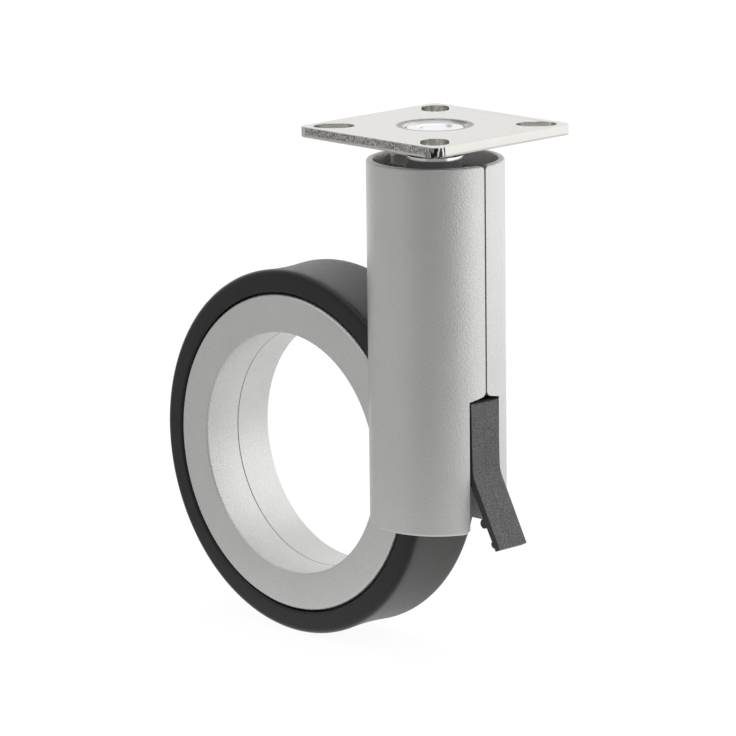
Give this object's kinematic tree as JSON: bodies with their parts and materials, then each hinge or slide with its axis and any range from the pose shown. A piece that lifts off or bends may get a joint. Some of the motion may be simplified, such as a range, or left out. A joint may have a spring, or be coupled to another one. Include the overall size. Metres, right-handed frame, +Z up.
{
  "type": "swivel plate castor",
  "caption": "Swivel castor with a square slotted top plate, a two-shell tube, an open hubless wheel running round a fixed ring, and a foot brake lever.",
  "frame": {"origin": "centre of the plate's top face, on the swivel axis", "axes": "+Z up, out of the plate's top face; +X from the swivel axis towards the brake lever; Y along the wheel's axis"},
  "size_m": [0.0924, 0.038, 0.1077],
  "materials": {
    "zinc_plate": "satin",
    "chromed_pin": "polished",
    "dark_sleeve": "matte",
    "bearing_steel": "satin",
    "ball_steel": "polished",
    "cage_brass": "satin",
    "shield_steel": "satin",
    "spacer_steel": "satin",
    "spring_steel": "satin",
    "carrier_plastic": "matte",
    "silver_paint": "satin",
    "cage_plastic": "matte",
    "rim_plastic": "matte",
    "tyre_rubber": "satin",
    "lever_plastic": "matte"
  },
  "bodies": {
    "mount": {"mounting_plate": "zinc_plate", "king_pin": "chromed_pin", "dust_sleeve": "dark_sleeve", "upper_inner_ring": "bearing_steel", "bearing_spacer": "spacer_steel", "lower_inner_ring": "bearing_steel", "pin_washer": "spacer_steel", "retaining_ring": "spring_steel"},
    "housing": {"bearing_carrier": "carrier_plastic", "upper_outer_ring": "bearing_steel", "upper_shields": "shield_steel", "lower_outer_ring": "bearing_steel", "lower_shields": "shield_steel", "near_shell": "silver_paint", "far_shell": "silver_paint", "shell_dowels": "spacer_steel", "wheel_inner_race": "bearing_steel", "lever_pin": "spacer_steel", "lever_spring": "spring_steel"},
    "wheel": {"wheel_outer_race": "bearing_steel", "wheel_rim": "rim_plastic", "tyre": "tyre_rubber"},
    "lever": {"brake_lever": "lever_plastic"},
    "swivel_balls": {"upper_balls": "ball_steel", "upper_ball_cage": "cage_brass", "lower_balls": "ball_steel", "lower_ball_cage": "cage_brass"},
    "wheel_ball_set": {"wheel_balls": "ball_steel", "wheel_ball_cage": "cage_plastic"}
  },
  "joints": [
    {"name": "swivel", "type": "hinge", "parent": "mount", "child": "housing", "pos_m": [0, 0, 0], "axis": [0, 0, 1], "continuous": true},
    {"name": "swivel_ball_orbit", "type": "hinge", "parent": "mount", "child": "swivel_balls", "pos_m": [0, 0, 0], "axis": [0, 0, 1], "continuous": true},
    {"name": "wheel_spin", "type": "hinge", "parent": "housing", "child": "wheel", "pos_m": [-0.0341, 0, -0.0702], "axis": [0, 1, 0], "continuous": true},
    {"name": "wheel_ball_orbit", "type": "hinge", "parent": "housing", "child": "wheel_ball_set", "pos_m": [-0.0341, 0, -0.0702], "axis": [0, 1, 0], "continuous": true},
    {"name": "brake", "type": "hinge", "parent": "housing", "child": "lever", "pos_m": [0.0094, 0, -0.066], "axis": [0, 1, 0], "range_deg": [0, 28]}
  ],
  "couplings": [
    {"joint": "swivel_ball_orbit", "follows": "swivel", "ratio": 0.6323},
    {"joint": "wheel_ball_orbit", "follows": "wheel_spin", "ratio": 0.5257}
  ]
}
